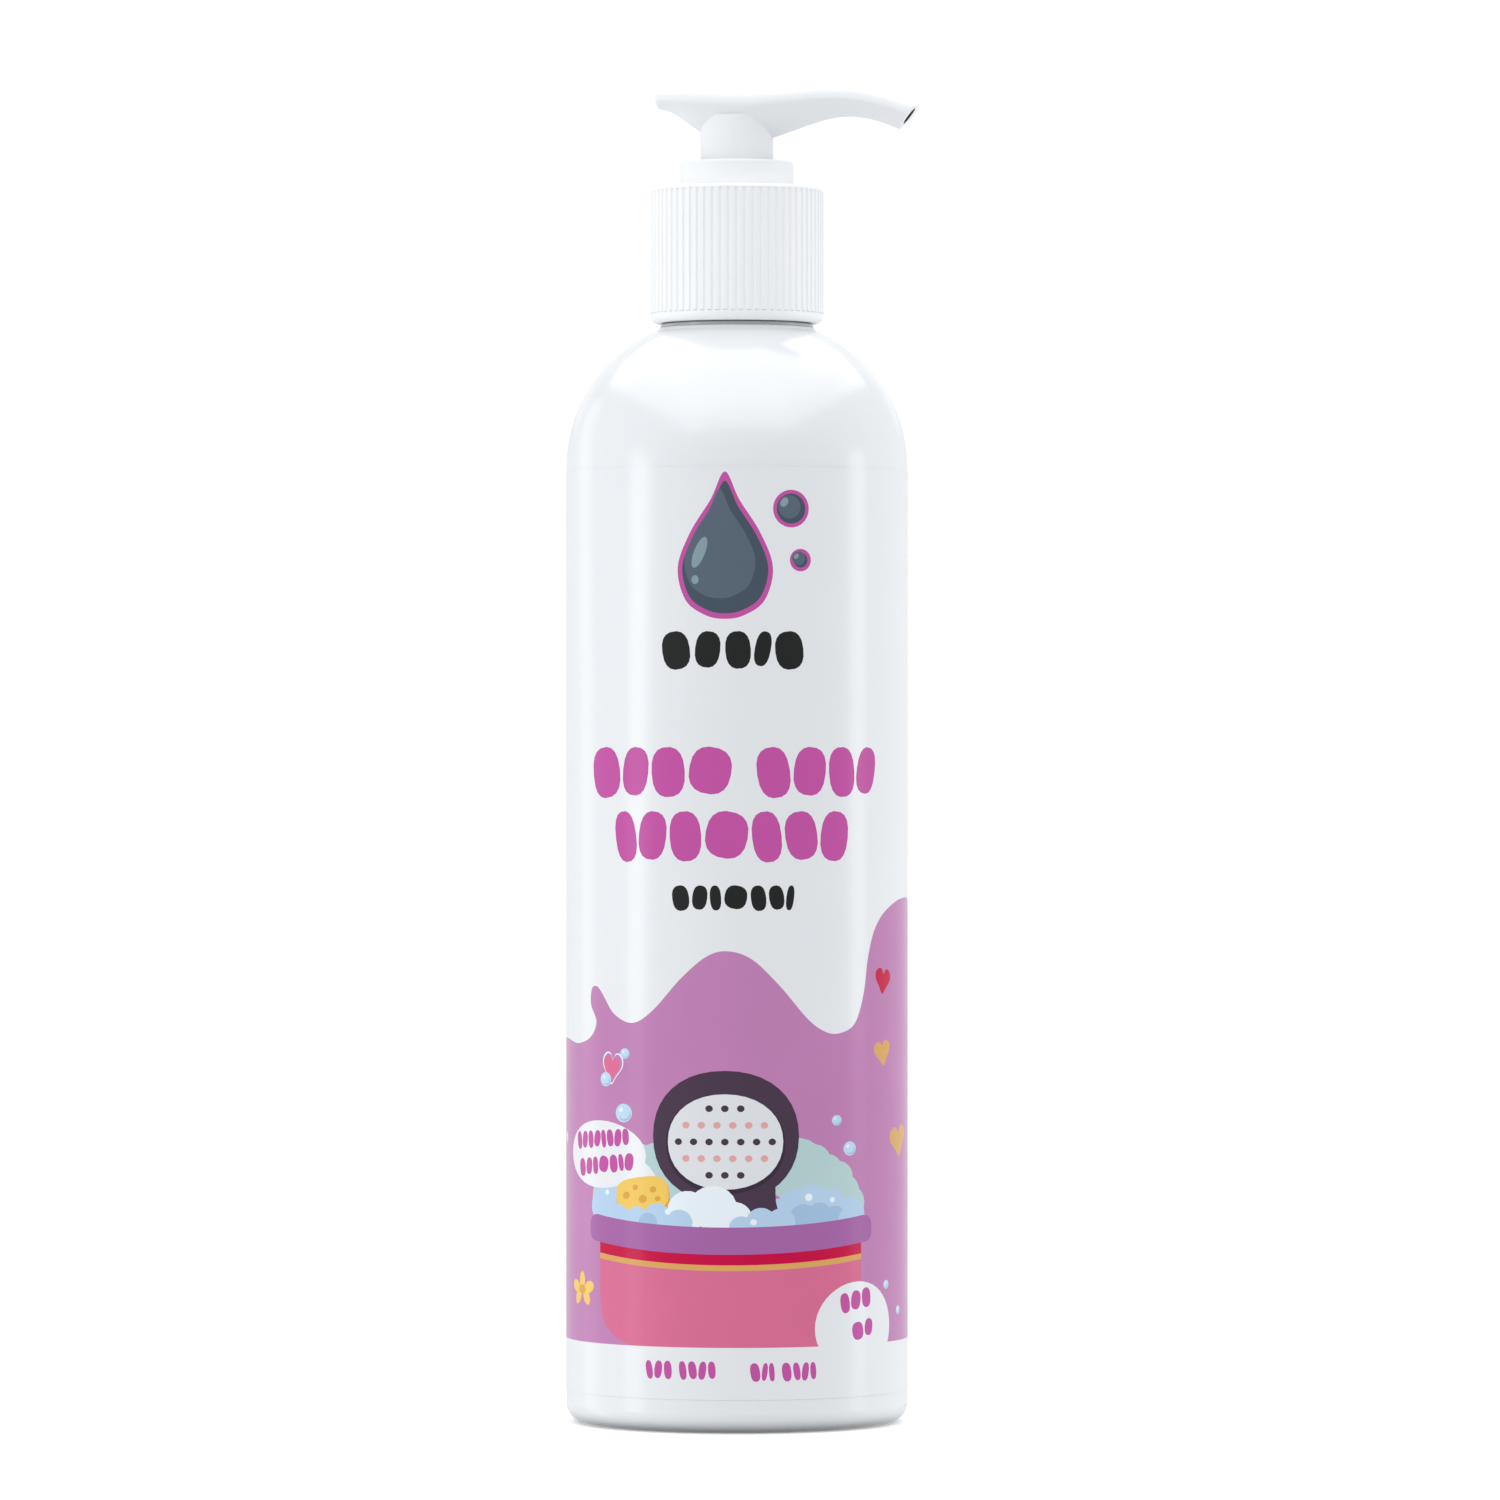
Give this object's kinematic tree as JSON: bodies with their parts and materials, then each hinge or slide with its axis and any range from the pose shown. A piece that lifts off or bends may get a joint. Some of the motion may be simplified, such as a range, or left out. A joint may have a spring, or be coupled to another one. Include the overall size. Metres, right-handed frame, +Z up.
{
  "type": "shampoo bottle",
  "caption": "Tall round pet shampoo bottle with a domed shoulder, a ribbed screw closure, a lotion pump with a drooping spout that locks by a turn, and a printed wrap-round film.",
  "frame": {"origin": "centre of the base, on the bottle's axis, at the height of the ring that it stands on", "axes": "+Z up along the bottle's axis; the spout points along +X, turned 8 degrees towards -Y; -Y is the printed front"},
  "size_m": [0.0475, 0.0462, 0.1793],
  "materials": {
    "bottle_white": "satin blown plastic",
    "printed_film": "printed film",
    "pump_white": "moulded, semi-gloss",
    "natural_plastic": "natural, slightly cloudy",
    "soft_plastic": "soft natural plastic",
    "gasket_foam": "closed-cell foam",
    "spring_steel": "drawn wire",
    "ball_steel": "polished"
  },
  "bodies": {
    "bottle": {"bottle": "bottle_white", "wrap_label": "printed_film"},
    "pump_body": {"pump_housing": "natural_plastic", "neck_gasket": "gasket_foam", "lock_collar": "pump_white", "ball_cage": "natural_plastic", "return_spring": "spring_steel", "dip_tube": "soft_plastic"},
    "closure": {"closure": "pump_white"},
    "plunger": {"valve_stem": "natural_plastic"},
    "actuator": {"actuator_head": "pump_white", "stem": "pump_white"},
    "piston": {"piston": "soft_plastic"},
    "inlet_ball": {"inlet_ball": "ball_steel"}
  },
  "joints": [
    {"name": "pump_rise", "type": "slide", "parent": "bottle", "child": "pump_body", "axis": [0, 0, 1], "range_m": [0, 0.00556]},
    {"name": "closure_turn", "type": "hinge", "parent": "pump_body", "child": "closure", "pos_m": [0, 0, 0.157], "axis": [0, 0, 1], "range_deg": [0, 630]},
    {"name": "pump_stroke", "type": "slide", "parent": "pump_body", "child": "plunger", "axis": [0, 0, 1], "range_m": [0, 0.012], "deforming": ["return_spring"]},
    {"name": "head_turn", "type": "hinge", "parent": "plunger", "child": "actuator", "pos_m": [0, 0, 0.172], "axis": [0, 0, 1], "continuous": true},
    {"name": "piston_slip", "type": "slide", "parent": "plunger", "child": "piston", "axis": [0, 0, 1], "range_m": [0, 0.001]},
    {"name": "inlet_ball_lift", "type": "slide", "parent": "pump_body", "child": "inlet_ball", "axis": [0, 0, 1], "range_m": [0, 0.0012]}
  ],
  "couplings": [
    {"joint": "pump_rise", "follows": "closure_turn", "m_per_rad": 0.00050532}
  ]
}
